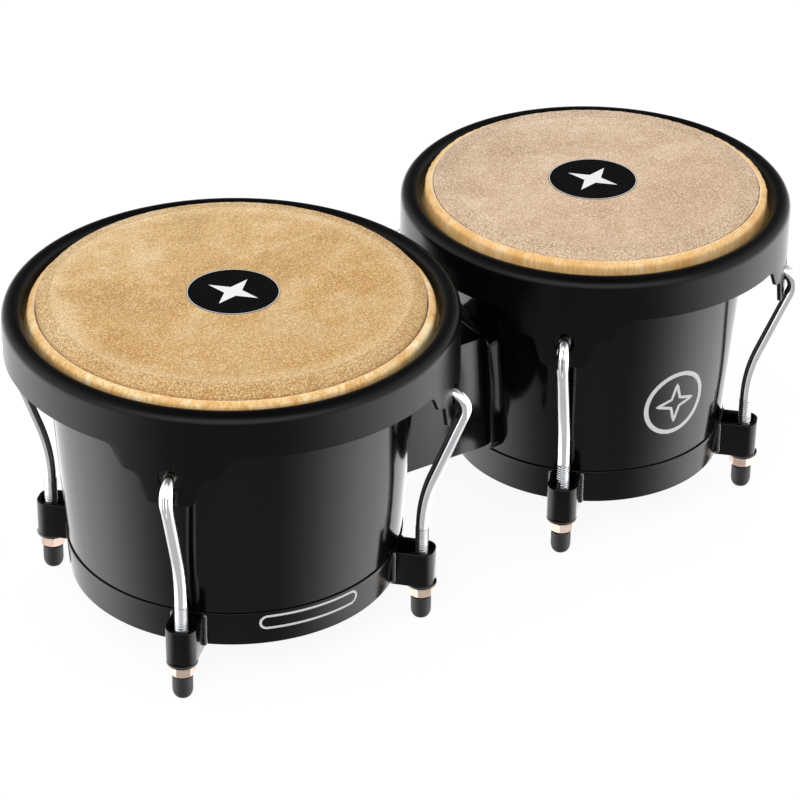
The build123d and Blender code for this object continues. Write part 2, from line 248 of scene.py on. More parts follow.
class Drum:
    """Where one drum's pieces stand, read from the frame's boxes."""

    def __init__(self, name, facing):
        self.name = name
        self.facing = facing
        self.tuning = f"{name}_tuning"
        hoop_low, hoop_high = self.box("flesh_hoop")
        self.x = (hoop_low[0] + hoop_high[0]) / 2
        self.top_radius = (hoop_high[1] - hoop_low[1]) / 2 - HOOP_REACH
        self.hoop_low, self.hoop_high = hoop_low[2], hoop_high[2]
        rim_low, rim_high = self.box("rim")
        self.rim_radius = (rim_high[1] - rim_low[1]) / 2
        self.head = self.box("head_skin")[1][2]
        self.lap_top = self.box("head_lap")[1][2]
        self.shell_base = self.box("shell")[0][2]
        self.skin_edge = self.top_radius + SKIN
        self.lugs = []
        for i in range(4):
            low, high = self.box(f"rubber_tip_{i + 1}")
            self.lugs.append(((low[0] + high[0]) / 2, (low[1] + high[1]) / 2))
        x, y = self.lugs[0]
        self.lug_radius = hypot(x - self.x, y)
        self.lug_angles = [atan2(y, x - self.x) for x, y in self.lugs]
        self.base_radius = self.lug_radius - LUG_STANDOFF
        self.slope = (self.top_radius - self.base_radius) / (self.edge_foot - self.shell_base)

    def box(self, stem):
        low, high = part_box(f"{self.name}_{stem}")
        return np.array(low) / MM, np.array(high) / MM

    @property
    def shell_top(self):
        return self.head - SKIN

    @property
    def edge_foot(self):
        return self.shell_top - EDGE_ROUNDOVER

    @property
    def skirt(self):
        return self.head - HEAD_TO_SKIRT

    @property
    def hole(self):
        return self.skirt - HOOK_HOLE_DROP

    def outside(self, z):
        """Outside radius of the shell at a height."""
        return self.base_radius + self.slope * (z - self.shell_base)

    def at(self, radius, angle, z):
        return (self.x + radius * cos(angle), radius * sin(angle), z)


# Materials


def fill(node, **values):
    """Sets a node's inputs by name, with _ for a space."""
    for key, value in values.items():
        node.inputs[key.replace("_", " ")].default_value = value


def put_stops(node, stops):
    """Sets a colour ramp's (position, colour) stops."""
    elements = node.color_ramp.elements
    while len(elements) < len(stops):
        elements.new(0.5)
    for element, (position, colour) in zip(elements, stops):
        element.position = position
        element.color = (*colour, 1)


def feed(tree, socket, value):
    """Gives a socket a number, a colour or another node's output."""
    if isinstance(value, (int, float)):
        socket.default_value = value
    elif isinstance(value, tuple):
        socket.default_value = (*value, 1)
    else:
        tree.links.new(value, socket)


class Nodes:
    """A material's node tree, with short calls for the nodes used here."""

    def __init__(self, name):
        self.material = bpy.data.materials.new(name)
        self.material.use_nodes = True
        self.tree = self.material.node_tree
        self.shader = self.tree.nodes["Principled BSDF"]
        self.coordinates = self.make("ShaderNodeTexCoord").outputs["Object"]

    def make(self, kind, **settings):
        node = self.tree.nodes.new(kind)
        for key, value in settings.items():
            setattr(node, key, value)
        return node

    def link(self, source, target):
        self.tree.links.new(source, target)

    def set(self, **values):
        fill(self.shader, **values)

    def noise(self, scale, detail=4.0, roughness=0.55, stretch=None, distortion=0.0, turn=0.0):
        node = self.make("ShaderNodeTexNoise")
        fill(node, Scale=scale, Detail=detail, Roughness=roughness, Distortion=distortion)
        source = self.coordinates
        if stretch:
            mapping = self.make("ShaderNodeMapping")
            fill(mapping, Scale=stretch, Rotation=(0, 0, turn))
            self.link(source, mapping.inputs["Vector"])
            source = mapping.outputs["Vector"]
        self.link(source, node.inputs["Vector"])
        return node.outputs["Fac"]

    def cells(self, scale):
        node = self.make("ShaderNodeTexVoronoi", feature="F1")
        fill(node, Scale=scale)
        self.link(self.coordinates, node.inputs["Vector"])
        return node.outputs["Distance"]

    def ramp(self, source, *stops):
        """Colours or greys at positions along a value."""
        node = self.make("ShaderNodeValToRGB")
        put_stops(node, [(p, c if isinstance(c, tuple) else (c, c, c)) for p, c in stops])
        self.link(source, node.inputs["Fac"])
        return node.outputs["Color"]

    def mix(self, factor, first, second):
        node = self.make("ShaderNodeMix", data_type="RGBA")
        for index, value in ((0, factor), (6, first), (7, second)):
            feed(self.tree, node.inputs[index], value)
        return node.outputs[2]

    def range(self, source, low, high, from_low=0.0, from_high=1.0):
        node = self.make("ShaderNodeMapRange")
        fill(node, From_Min=from_low, From_Max=from_high, To_Min=low, To_Max=high)
        self.link(source, node.inputs["Value"])
        return node.outputs["Result"]

    def math(self, operation, first, second):
        node = self.make("ShaderNodeMath", operation=operation)
        for socket, value in zip(node.inputs, (first, second)):
            feed(self.tree, socket, value)
        return node.outputs[0]

    def radius(self, centre):
        """Distance from an upright axis at a place on X, in metres."""
        shift = self.make("ShaderNodeMapping")
        fill(shift, Location=(-centre, 0, 0), Scale=(1, 1, 0))
        self.link(self.coordinates, shift.inputs["Vector"])
        length = self.make("ShaderNodeVectorMath", operation="LENGTH")
        self.link(shift.outputs["Vector"], length.inputs[0])
        return length.outputs["Value"]

    def place(self, axis):
        """The place on one axis, in metres."""
        split = self.make("ShaderNodeSeparateXYZ")
        self.link(self.coordinates, split.inputs[0])
        return split.outputs[axis]

    def bump(self, source, depth, strength=1.0, under=None):
        """A bump of a depth in millimetres, over another one if given."""
        node = self.make("ShaderNodeBump")
        fill(node, Strength=strength, Distance=depth * MM)
        self.link(source, node.inputs["Height"])
        if under is not None:
            self.link(under, node.inputs["Normal"])
        return node.outputs["Normal"]

    def finish(self, colour=None, roughness=None, normal=None):
        for socket, value in (("Base Color", colour), ("Roughness", roughness), ("Normal", normal)):
            if value is not None:
                self.link(value, self.shader.inputs[socket])
        return self.material


def moulded_black():
    """High gloss moulded plastic with a faint orange peel and handling haze."""
    n = Nodes("shell_gloss_black")
    n.set(Specular_IOR_Level=0.17, IOR=1.5)
    haze = n.noise(18, 5)
    speck = n.noise(900, 2)
    colour = n.ramp(speck, (0.35, (0.0014, 0.0014, 0.0017)), (0.7, (0.0026, 0.0026, 0.003)))
    peel = n.bump(n.noise(160, 3), 0.012, 0.5)
    return n.finish(colour, n.range(haze, 0.07, 0.15), peel)


def satin_black(name, specular, rough_low, rough_high):
    """Powder-coated steel: a fine pebbled skin over a soft sheen."""
    n = Nodes(name)
    n.set(Specular_IOR_Level=specular, IOR=1.5)
    cloud = n.noise(25, 4)
    pebble = n.noise(1400, 2)
    colour = n.ramp(cloud, (0.3, (0.0010, 0.0010, 0.0012)), (0.75, (0.0022, 0.0022, 0.0025)))
    normal = n.bump(pebble, 0.008, 0.5)
    return n.finish(colour, n.range(cloud, rough_low, rough_high), normal)


def block_black():
    """Lacquered block with a trace of grain under the gloss."""
    n = Nodes("block_gloss_black")
    n.set(Specular_IOR_Level=0.3, IOR=1.5)
    grain = n.noise(60, 6, 0.6, stretch=(0.25, 3, 3))
    colour = n.ramp(grain, (0.3, (0.003, 0.004, 0.0046)), (0.7, (0.006, 0.008, 0.009)))
    normal = n.bump(grain, 0.015, 0.4)
    return n.finish(colour, n.range(grain, 0.12, 0.2), normal)


def chrome():
    """Bright plate on a drawn rod: fine lines along it and a little haze."""
    n = Nodes("lug_chrome")
    n.set(Metallic=1.0)
    drawn = n.noise(420, 3, 0.5, stretch=(4, 4, 0.12))
    colour = n.ramp(n.noise(60, 3), (0.3, (0.66, 0.67, 0.69)), (0.7, (0.76, 0.765, 0.775)))
    return n.finish(colour, n.range(drawn, 0.1, 0.2), n.bump(drawn, 0.003, 0.4))


def nut_plate():
    """Nickel plate gone dull and warm, with tumbling marks."""
    n = Nodes("nut_plate")
    n.set(Metallic=0.45)
    marks = n.noise(700, 4, 0.6)
    colour = n.ramp(n.noise(140, 3), (0.3, (0.56, 0.41, 0.34)), (0.7, (0.7, 0.54, 0.46)))
    return n.finish(colour, n.range(marks, 0.3, 0.45), n.bump(marks, 0.012, 0.6))


def zinc():
    n = Nodes("bolt_zinc")
    n.set(Metallic=1.0)
    spangle = n.cells(500)
    colour = n.ramp(spangle, (0.0, (0.5, 0.51, 0.53)), (0.6, (0.66, 0.66, 0.67)))
    return n.finish(colour, n.range(n.noise(300, 3), 0.28, 0.42), n.bump(spangle, 0.01, 0.4))


def brass():
    n = Nodes("insert_brass")
    n.set(Metallic=1.0)
    turned = n.noise(300, 3, stretch=(0.3, 3, 3))
    colour = n.ramp(turned, (0.3, (0.62, 0.42, 0.14)), (0.7, (0.78, 0.56, 0.24)))
    return n.finish(colour, n.range(turned, 0.25, 0.4), n.bump(turned, 0.01, 0.4))


def hoop_steel():
    n = Nodes("hoop_steel")
    n.set(Metallic=1.0)
    scale = n.noise(180, 5)
    colour = n.ramp(scale, (0.3, (0.3, 0.29, 0.28)), (0.7, (0.5, 0.5, 0.49)))
    return n.finish(colour, n.range(scale, 0.3, 0.5), n.bump(scale, 0.02, 0.5))


def black_rubber():
    """Matte rubber with a moulded grain."""
    n = Nodes("tip_rubber")
    n.set(Specular_IOR_Level=0.35)
    grain = n.noise(1100, 3, 0.6)
    colour = n.ramp(n.noise(200, 4), (0.3, (0.006, 0.0055, 0.0075)), (0.75, (0.012, 0.0115, 0.014)))
    return n.finish(colour, n.range(grain, 0.5, 0.68), n.bump(grain, 0.03, 0.6))


def black_oxide():
    n = Nodes("washer_black_oxide")
    n.set(Specular_IOR_Level=0.4)
    cloud = n.noise(400, 4)
    colour = n.ramp(cloud, (0.3, 0.006), (0.7, 0.012))
    return n.finish(colour, n.range(cloud, 0.3, 0.45), n.bump(cloud, 0.01, 0.5))


def rawhide(name, centre, flat, tones, near, fleck, pale, grain_turn, crest):
    """Scraped hide: clouds of tone, dark and pale flecks, short fibres, a dry collar, plus painted light: a
    front-to-back sheen and a pale highlight ring inside the flat's edge.
    """
    n = Nodes(name)
    n.set(Specular_IOR_Level=0.3)
    dark, middle, light = tones
    cloud = n.noise(17, 5, 0.6, distortion=0.8)
    patch = n.noise(60, 5, 0.64)
    tone = n.ramp(n.mix(0.4, cloud, patch), (0.4, dark), (0.5, middle), (0.58, light))
    vein = n.noise(75, 3, 0.5, stretch=(0.12, 2.2, 1), turn=grain_turn, distortion=0.1)
    tone = n.mix(n.ramp(vein, (0.64, 0.0), (0.72, 0.45)), tone, pale)
    # Painted sheen: along Y the hide takes the front tone towards the front and turns paler towards the
    # back, standing in for light caught at the back
    across = n.place("Y")
    tone = n.mix(n.range(across, 0.75, 0.0, -0.09, 0.05), tone, near)
    tone = n.mix(n.range(across, 0.0, 0.2, -0.02, 0.09), tone, pale)
    fibre = n.noise(330, 4, 0.62, stretch=(0.3, 2.4, 1), turn=grain_turn, distortion=0.3)
    fibres = n.ramp(fibre, (0.38, 0.0), (0.62, 1.0))
    speck = n.noise(1050, 2, 0.6)
    grit = n.noise(1300, 2, 0.5, distortion=0.2)
    away = n.radius(centre)
    collar = n.range(away, 0.0, 1.0, flat - 0.0015, flat + 0.0015)
    # Painted highlight: a pale ring just inside the flat's edge, standing in for light on the bearing
    # edge's ridge; crest sets its strength
    shoulder = n.ramp(
        n.range(away, 0.0, 1.0, flat - 0.009, flat + 0.005), (0.0, 0.0), (0.58, crest), (0.8, 0.0)
    )
    colour = n.mix(n.range(fibres, 0.0, 0.22), tone, fleck)
    colour = n.mix(shoulder, colour, pale)
    dry = n.mix(n.range(patch, 0.15, 0.75, 0.35, 0.65), colour, pale)
    colour = n.mix(n.range(collar, 0.0, 0.3), colour, dry)
    line = n.ramp(n.range(away, 0.0, 1.0, flat - 0.0016, flat + 0.0016), (0.2, 0.0), (0.5, 0.4), (0.8, 0.0))
    colour = n.mix(line, colour, fleck)
    dots = n.ramp(speck, (0.38, 1.0), (0.5, 0.0))
    crumbs = n.ramp(speck, (0.46, 1.0), (0.56, 0.0))
    colour = n.mix(n.math("MULTIPLY", dots, 0.6), colour, fleck)
    colour = n.mix(n.math("MULTIPLY", crumbs, n.range(collar, 0.0, 0.55)), colour, fleck)
    sparks = n.ramp(grit, (0.5, 0.0), (0.6, 1.0))
    colour = n.mix(n.range(sparks, 0.0, 0.6), colour, pale)
    normal = n.bump(speck, 0.09, 0.6)
    normal = n.bump(fibre, 0.05, 0.5, normal)
    normal = n.bump(patch, 0.2, 0.4, normal)
    return n.finish(colour, n.range(fibre, 0.45, 0.62), normal)


def rawhide_lip(name, centre, inside, shoulder, deep, gold, cream):
    """The skin's upstanding edge: golden, with stretched fibres and pale folds, and painted shade darkening
    the wrapped part below the hoop's top.
    """
    n = Nodes(name)
    n.set(Specular_IOR_Level=0.35)
    cloud = n.noise(75, 5, 0.6, distortion=0.5)
    streak = n.noise(520, 3, 0.6, stretch=(1.6, 1.6, 0.12))
    fold = n.noise(170, 2, 0.5, stretch=(1.0, 1.0, 0.06))
    colour = n.ramp(n.mix(0.4, cloud, streak), (0.38, deep), (0.5, gold), (0.62, cream))
    colour = n.mix(n.ramp(fold, (0.63, 0.0), (0.67, 0.5)), colour, cream)
    within = n.range(n.radius(centre), 0.85, 0.0, inside - 0.0003, inside + 0.0006)
    colour = n.mix(within, colour, (0.9, 0.74, 0.5))
    # Painted shade: below the hoop's top the wrapped skin is darkened nearly to black, standing in for the
    # shade inside the rim
    under = n.range(n.place("Z"), 0.9, 0.0, shoulder - 0.004, shoulder + 0.0015)
    colour = n.mix(under, colour, (0.045, 0.028, 0.014))
    normal = n.bump(streak, 0.1, 0.6)
    normal = n.bump(n.noise(1000, 3), 0.05, 0.5, normal)
    return n.finish(colour, n.range(streak, 0.36, 0.52), normal)


def printed(name, low, high, specular=0.4):
    """Printed film: an even ink coat with a faint screen texture."""
    n = Nodes(name)
    n.set(Specular_IOR_Level=specular)
    ink = n.noise(1600, 2)
    return n.finish(n.ramp(ink, (0.3, low), (0.7, high)), n.range(ink, 0.2, 0.34), n.bump(ink, 0.004, 0.4))


SHELL = moulded_black()
RIM = satin_black("rim_satin_black", 0.12, 0.22, 0.3)
RING = satin_black("ring_satin_black", 0.16, 0.14, 0.22)
BEAD = satin_black("bead_gloss_black", 0.75, 0.08, 0.16)
BLOCK = block_black()
CHROME = chrome()
NUT = nut_plate()
ZINC = zinc()
BRASS = brass()
HOOP = hoop_steel()
RUBBER = black_rubber()
OXIDE = black_oxide()
INK_BLACK = printed("sticker_black", 0.0015, 0.003, 0.08)
INK_PALE = printed("sticker_pale", 0.78, 0.86, 0.2)
LARGE_TONES = ((0.5, 0.265, 0.065), (0.66, 0.385, 0.13), (0.8, 0.57, 0.31))
SMALL_TONES = ((0.46, 0.28, 0.15), (0.6, 0.4, 0.24), (0.74, 0.53, 0.37))


# Pieces


def directions(angle):
    """Outwards, along the wall and up, at an angle round a drum."""
    out = np.array([cos(angle), sin(angle), 0])
    along = np.array([-sin(angle), cos(angle), 0])
    return out, along, np.array([0, 0, 1.0])


def wobble(angle, seed, scale=1.0):
    """A smooth value from -1 to 1 that closes on itself round a circle."""
    return noise.noise(Vector((cos(angle) * scale + seed, sin(angle) * scale, seed * 0.37)))


def make_shell(drum):
    """Tapered shell with a rounded bearing edge, its foot rebate and the block's boss."""
    ring_top = RING_BASE + RING_HEIGHT
    rebate = drum.outside(ring_top) + RING_PROUD - RING_SHEET - 0.05
    base, top = drum.shell_base, drum.top_radius
    foot_rebate = rebate - drum.slope * (ring_top - base)
    outer = [(foot_rebate - 0.4, base), (foot_rebate, base + 0.4), (rebate, ring_top)]
    steps = 12
    wall = [
        (drum.outside(z), z)
        for z in [ring_top + 0.02 + (drum.edge_foot - ring_top) * i / steps for i in range(steps)]
    ]
    crown = arc(top - EDGE_ROUNDOVER, drum.edge_foot, EDGE_ROUNDOVER, 0, 90, 10)
    inner = [(top - SHELL_WALL, drum.shell_top - 3.0), (drum.base_radius - SHELL_WALL, base + 0.8)]
    inner.append((drum.base_radius - SHELL_WALL + 0.8, base))
    shape = Shape()
    shape.lathe(outer + wall + crown + inner, drum.x)
    add_boss(shape, drum)
    return piece(shape, f"{drum.name}_shell_body", SHELL, "drums", [f"{drum.name}_shell"], 25)


def add_boss(shape, drum):
    """Flat pad with rounded corners and edges that the block bolts to."""
    lean = math.atan(drum.slope)
    origin = np.array([drum.x + drum.facing * drum.outside(block_middle), 0, block_middle])
    out = np.array([drum.facing * cos(lean), 0, -sin(lean)])
    across = np.array([0, 1, 0])
    up = np.array([drum.facing * sin(lean), 0, cos(lean)])
    w, h, c, edge = BOSS_HALF_WIDTH, BOSS_HEIGHT / 2, BOSS_CORNER, 1.3
    rows = []
    sunk = 3.0 + BOSS_THICKNESS
    stations = [(0.0, -sunk), (0.0, -edge)]
    turns = [radians(22.5 * i) for i in range(1, 5)]
    stations += [(edge * (1 - cos(a)), edge * (sin(a) - 1)) for a in turns]
    for inset, depth in stations:
        plan = []
        for sx, sy, start in ((1, 1, 0), (-1, 1, 90), (-1, -1, 180), (1, -1, 270)):
            plan += arc(sx * (w - c), sy * (h - c), c - inset, start, start + 90, 8)
        rows.append([origin + out * (BOSS_THICKNESS + depth) + across * u + up * v for u, v in plan])
    shape.grid(rows, wrap_columns=True)
    last = rows[-1]
    shape.add(last, [tuple(range(len(last)))])
    shape.add(rows[0], [tuple(reversed(range(len(rows[0]))))])


def make_head(drum, skin, crown, collar, far_collar):
    """Playing surface: flat, then rolled over the bearing edge and down inside the lip."""
    edge = drum.skin_edge
    flat = edge - crown
    top = [(flat * i / 40, drum.head) for i in range(1, 41)]
    low = drum.edge_foot + 0.1

    def fall(t):
        return collar * (0.42 * t + 0.58 * (1 - math.sqrt(max(0.0, 1 - t * t))))

    over = [(flat + (edge - flat) * i / 16, drum.head - fall(i / 16)) for i in range(1, 17)]
    rim = drum.head - collar
    down = [(edge, rim - (rim - low) * i / 4) for i in range(1, 5)]
    back = [(edge - SKIN, low)]
    back += arc(drum.top_radius - EDGE_ROUNDOVER, drum.edge_foot, EDGE_ROUNDOVER + 0.02, 0, 90, 8)
    back += [(flat * i / 12, drum.shell_top + 0.02) for i in range(11, 0, -1)]

    def shift(r, z, angle):
        reach = max(0.0, min(1.0, (r - flat) / (edge - flat)))
        outside = r > edge - 0.01 or z > drum.head - fall(reach) - 0.01
        if not outside:
            return 0.0, 0.0
        far = (1 - far_collar / collar) * (0.5 - 0.5 * cos(angle - FRONT)) ** 1.5
        if z < rim - 0.01:
            return 0.0, far * collar * (z - low) / (rim - low)
        far *= fall(reach)
        pucker = noise.noise(Vector((cos(angle) * 26, sin(angle) * 26, 3.1))) * 0.22 * reach**2
        cloud = noise.noise(Vector((r * cos(angle) / 26, r * sin(angle) / 26, 7.7))) * 0.05
        return 0.0, far + min(0.0, pucker - 0.1 * reach) + cloud * (1 - reach) - 0.03

    shape = Shape()
    shape.lathe(top + over + down + back, drum.x, closed=False, shift=shift)
    ring = SEGMENTS
    upper = [(drum.x, 0, drum.head - 0.03)] + shape.points[:ring]
    shape.add(upper, [(0, 1 + (i + 1) % ring, 1 + i) for i in range(ring)])
    last = len(shape.points) - ring - 1
    lower = [(drum.x, 0, drum.shell_top + 0.02)] + shape.points[last - ring : last]
    shape.add(lower, [(0, 1 + i, 1 + (i + 1) % ring) for i in range(ring)])
    return piece(
        shape, f"{drum.name}_playing_skin", skin, "drums",
        [f"{drum.name}_head_skin"], 50,
    )


def make_lip(drum, hide, fall, waviness, lift):
    """Edge of the skin: wrapped round the hoop, its end standing up as a folded lip."""
    top = drum.top_radius
    inner, outer = top + LIP_INSIDE, top + LIP_OUTSIDE
    hoop_in, hoop_out = top + LAP_INSIDE, top + LAP_OUTSIDE
    low, shoulder = drum.hoop_low - SKIN, drum.hoop_high + SKIN
    crest = drum.lap_top
    profile = [(hoop_in, low), (hoop_in, shoulder - 1.5), (inner, shoulder + 1.5)]
    profile += [(inner, shoulder + 1.5 + (crest - 1.2 - shoulder - 1.5) * i / 5) for i in range(1, 6)]
    width = outer - inner
    for degrees in range(15, 181, 15):
        a = radians(degrees)
        drop = fall * (degrees / 180) ** 1.5
        profile.append((inner + width * (0.5 - 0.5 * cos(a)), crest - 1.2 + 1.1 * sin(a) - drop))
    profile += [(outer + 0.1, crest - fall - 2.4), (outer, shoulder + 1.0), (outer + 0.6, shoulder + 0.1)]
    ease = 0.8
    profile += [(hoop_out - ease, shoulder), (hoop_out, shoulder - ease)]
    profile += [(hoop_out, low + ease), (hoop_out - ease, low)]
    rise = crest - shoulder

    def shift(r, z, angle):
        high = max(0.0, min(1.0, (z - shoulder) / rise))
        slow = wobble(angle, 5.3, 2.2) * 0.5
        quick = noise.noise(Vector((cos(angle) * 30, sin(angle) * 30, 1.7 + z * 0.12)))
        fold = noise.noise(Vector((cos(angle) * 75, sin(angle) * 75, 9.1 + z * 0.05)))
        dr = waviness * high * (0.4 * slow + 0.22 * quick + 0.12 * fold)
        far = 0.5 - 0.5 * cos(angle - FRONT)
        dz = waviness * (1 - 0.8 * far) * high**2 * (0.4 * slow + 0.3 * quick + 0.1 * fold)
        return max(-0.25, dr), dz + lift * far**1.5 * high

    shape = Shape()
    shape.lathe(profile, drum.x, segments=384, shift=shift)
    return piece(
        shape, f"{drum.name}_skin_lip", hide, drum.tuning,
        [f"{drum.name}_head_lap"], 60,
    )


def make_rim(drum):
    """One bent sheet: rolled top, short inner leg, skirt and four holed side plates."""
    radius = drum.rim_radius
    columns = SEGMENTS // 4
    quarter = radius * pi / 4
    band_top = drum.skirt + 2.5
    right = [(PLATE[0][0] + 10, 0.0), *PLATE]
    left = [(-s, d) for s, d in reversed(right)]
    corners = list(PLATE_CORNERS) + list(reversed(PLATE_CORNERS))
    outline = [(s, drum.skirt - d) for s, d in rounded(right + left, corners, 7)]
    edge = [(quarter, drum.skirt)]
    step = 2 * quarter / columns
    side = [quarter - step * i for i in range(1, columns)]
    edge += [(s, drum.skirt) for s in side if s > outline[0][0] + step / 3]
    edge += outline
    edge += [(s, drum.skirt) for s in side if s < outline[-1][0] - step / 3]
    edge.append((-quarter, drum.skirt))
    edge += [(-quarter + step * i, band_top) for i in range(columns + 1)]
    around = 40
    turns = [2 * pi * i / around for i in range(around)]
    hole = [(HOOK_HOLE_RADIUS * cos(a), drum.hole + HOOK_HOLE_RADIUS * sin(a)) for a in turns]
    count = len(edge)
    inside = []
    for i in range(-14, 15):
        for j in range(11):
            s, z = i * 2.4 + (j % 2) * 1.2, band_top - 2.4 - j * 2.4
            depth = drum.skirt - z
            limit = np.interp(depth, [-3, 0, 10, 12, 25], [60, 26.5, 20.3, 13.2, 9.2])
            clear = hypot(s, z - drum.hole) > HOOK_HOLE_RADIUS + 1.0
            if abs(s) < limit and depth < 24 and clear:
                inside.append((s, z))
    points = [Vector(p) for p in edge + hole + inside]
    constraints = [(i, (i + 1) % count) for i in range(count)]
    constraints += [(count + i, count + (i + 1) % around) for i in range(around)]
    flat, _, triangles, *_ = geometry.delaunay_2d_cdt(points, constraints, [], 1, 1e-5)
    keep = []
    for triangle in triangles:
        s, z = (sum(flat[i][k] for i in triangle) / 3 for k in (0, 1))
        if hypot(s, z - drum.hole) > HOOK_HOLE_RADIUS * 0.98:
            keep.append(tuple(triangle))
    shape = Shape()
    for angle in drum.lug_angles:
        shape.add([drum.at(radius, angle + s / radius, z) for s, z in flat], keep)
    roll = drum.head - HEAD_TO_ROLL - RIM_ROLL
    profile = [(radius, band_top), (radius, (band_top + roll) / 2)]
    profile += arc(radius - RIM_ROLL, roll, RIM_ROLL, 0, 180, 20)
    profile.append((radius - 2 * RIM_ROLL, drum.head - RIM_LEG_TOP))
    start = drum.lug_angles[0] - pi / 4
    rows = [
        [drum.at(r, start + 2 * pi * j / SEGMENTS, z) for j in range(SEGMENTS)] for r, z in profile
    ]
    shape.grid(rows, wrap_columns=True)
    rim = piece(
        shape, f"{drum.name}_rolled_rim", RIM, drum.tuning, [f"{drum.name}_rim"], 35, merge=0.02
    )
    outwards(rim, drum)
    apply(rim, "SOLIDIFY", 35, thickness=RIM_SHEET * MM, offset=-1.0, use_even_offset=True)
    round_edges(rim, 0.45, 3, 50, 35)
    return rim


def outwards(obj, drum):
    """Turns an open sheet's faces so that they look away from the drum's axis."""
    mesh = obj.data
    face = max(mesh.polygons, key=lambda f: (f.center.x - drum.x * MM) ** 2 + f.center.y**2)
    away = Vector((face.center.x - drum.x * MM, face.center.y, 0))
    if face.normal.dot(away) < 0:
        mesh.flip_normals()


def make_bottom_ring(drum):
    """Rolled ring with its flange, four U-shaped straps and their weld beads."""
    top = RING_BASE + RING_HEIGHT
    face = drum.outside(top) + RING_PROUD
    foot = face - drum.slope * RING_HEIGHT
    back = face - RING_SHEET - drum.slope * (top - drum.shell_base)
    profile = [(foot - 0.9, RING_BASE)] + arc(foot - 0.9, RING_BASE + 0.9, 0.9, 280, 355, 5)
    profile += [(foot + (face - foot) * i / 6, RING_BASE + RING_HEIGHT * i / 6) for i in range(1, 6)]
    profile += arc(face - 0.3, top - 0.3, 0.3, 5, 90, 4)
    profile += [(face - RING_SHEET + 0.1, top), (face - RING_SHEET, top - 0.2), (back, drum.shell_base)]
    profile += [(foot - RING_FLANGE, drum.shell_base), (foot - RING_FLANGE, RING_BASE)]
    shape = Shape()
    shape.lathe(profile, drum.x)
    ring = piece(shape, f"{drum.name}_foot_ring", RING, "drums", [f"{drum.name}_bottom_ring"], 35)
    straps = Shape()
    beads = Shape()
    leg = LUG_STANDOFF - RING_PROUD + RING_SHEET / 2
    half, inside = STRAP_HALF_WIDTH, STRAP_HALF_WIDTH - STRAP_SHEET
    tip = STRAP_REACH
    for index, (angle, (x, y)) in enumerate(zip(drum.lug_angles, drum.lugs)):
        out, along, lift = directions(angle)
        middle = np.array([x, y, 0])
        wide = rounded([(-leg, -half), (tip, -half), (tip, half), (-leg, half)], [STRAP_CORNER] * 2, 10)
        narrow = rounded(
            [(-leg, -inside), (tip - STRAP_SHEET, -inside), (tip - STRAP_SHEET, inside), (-leg, inside)],
            [STRAP_CORNER - STRAP_SHEET] * 2, 10,
        )
        rows = []
        for plan, z in ((wide, 0), (wide, STRAP_HEIGHT), (narrow, STRAP_HEIGHT), (narrow, 0)):
            rows.append([middle + out * o + along * a + lift * (STRAP_BASE + z) for o, a in plan])
        straps.grid(rows, wrap_rows=True)
        for end in (0, -1):
            straps.add([row[end] for row in rows], [(0, 1, 2, 3)])
        for side in (-1, 1):
            root = middle + out * (RING_PROUD - LUG_STANDOFF + 0.5) + along * side * (half + 0.1)
            seed = index * 7.1 + side
            heights = np.linspace(0.5, RING_HEIGHT - 0.5, 54)
            bead = []
            for h in heights:
                swell = 1.0 + 0.07 * sin(h * 2 * pi / 1.5) + 0.1 * noise.noise(Vector((h * 0.6, seed, 0)))
                ends = min(1.0, math.sqrt(max(0.02, min(h, RING_HEIGHT - h) / 1.6)))
                bead.append((1.45 * swell * ends, RING_BASE + h))
            bead = [(0.01, bead[0][1] - 0.25)] + bead + [(0.01, bead[-1][1] + 0.25)]
            beads.lathe(bead, root[0], root[1], 20, closed=False)
    strap = piece(straps, f"{drum.name}_ring_straps", RING, "drums")
    round_edges(strap, 0.5, 3, 60)
    piece(beads, f"{drum.name}_weld_beads", BEAD, "drums", sharp=70)
    return ring


def thread(shape, x, y, low, high, segments=28):
    """Rolled screw thread: a ridge that climbs one pitch in each turn."""
    root, crest = THREAD_RADIUS - 0.69, THREAD_RADIUS
    outline = ((root, 0.0), (crest, 0.42), (crest, 0.54), (root, 0.94), (root, 1.0))
    turns = (high - low) / THREAD_PITCH
    steps = int(turns * segments)
    rows = []
    for k in range(steps + 1):
        angle = 2 * pi * k / segments
        fade = min(1.0, (steps - k) / segments)
        rows.append([
            (
                x + (root + (r - root) * fade) * cos(angle),
                y + (root + (r - root) * fade) * sin(angle),
                low + THREAD_PITCH * (k / segments + climb),
            )
            for r, climb in outline
        ])
    shape.grid(rows)


def lug_route(drum):
    """The lug's centreline above its thread: (distance out from its foot, height)."""
    hook = drum.hole - HOOK_HOLE_RADIUS + SHANK_RADIUS + HOOK_RISE
    end = drum.rim_radius - RIM_SHEET - HOOK_TAIL - drum.lug_radius
    corners = [(0, THREAD_TOP - 1.0), (0, hook - KNEE_DROP), (HOOK_OFFSET, hook), (end, hook)]
    return rounded(corners, [KNEE_RADIUS, HOOK_BEND], 22)


